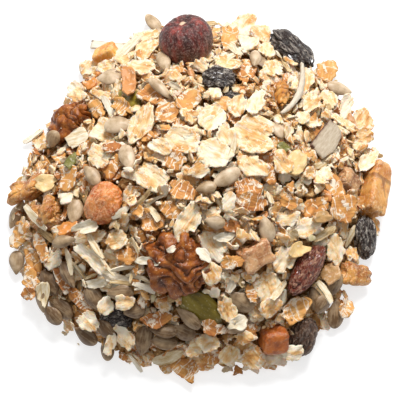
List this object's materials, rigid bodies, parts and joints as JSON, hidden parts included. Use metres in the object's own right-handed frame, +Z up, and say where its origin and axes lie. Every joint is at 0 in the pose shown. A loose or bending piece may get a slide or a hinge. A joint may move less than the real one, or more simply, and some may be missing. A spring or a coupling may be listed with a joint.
{
  "type": "heap of dry muesli",
  "caption": "Low poured mound of rolled oats, bran flakes and seeds with nuts, raisins and dried fruit pieces lying on it, flat underneath.",
  "frame": {"origin": "on the resting surface, under the middle of the heap's box", "axes": "+Z up, +X to the viewer's right along the heap's widest extent, -Y towards the viewer"},
  "size_m": [0.1132, 0.1068, 0.0366],
  "materials": {
    "oat_flakes": "dry and floury, cream with tan bran",
    "bran_flakes": "dry, orange-brown skin with pale cracks",
    "sunflower_kernel": "grey-beige, faintly ribbed",
    "hazelnut_skin": "dark red-brown papery skin with fine stripes",
    "dark_raisin": "wrinkled, with a grey bloom on the ridges",
    "red_raisin": "wrinkled, red-brown and a little glossy",
    "sultana": "amber, frosted with fine flour",
    "walnut": "brown skin with darker veins",
    "pumpkin_seed": "olive green, smooth",
    "dried_fruit": "tan to orange, leathery and uneven",
    "coconut": "off-white to grey, fibrous"
  },
  "bodies": {
    "root": {"muesli_heap": "oat_flakes", "hazelnut": "hazelnut_skin", "raisin_back_right": "dark_raisin", "raisin_back": "dark_raisin", "raisin_under": "dark_raisin", "raisin_right": "dark_raisin", "raisin_sunk": "dark_raisin", "raisin_red": "red_raisin", "raisin_front": "red_raisin", "sultana": "sultana", "walnut_centre": "walnut", "walnut_left": "walnut", "walnut_crumb": "walnut", "pumpkin_seed_front": "pumpkin_seed", "pumpkin_seed_back": "pumpkin_seed", "fruit_bar_right": "dried_fruit", "fruit_front": "dried_fruit", "fruit_centre": "dried_fruit", "fruit_back_left": "dried_fruit", "fruit_left_edge": "dried_fruit", "fruit_left": "dried_fruit", "fruit_right": "dried_fruit", "fruit_right_low": "dried_fruit", "coconut_chip": "coconut", "coconut_chip_back": "coconut", "coconut_shred": "coconut"}
  },
  "joints": []
}
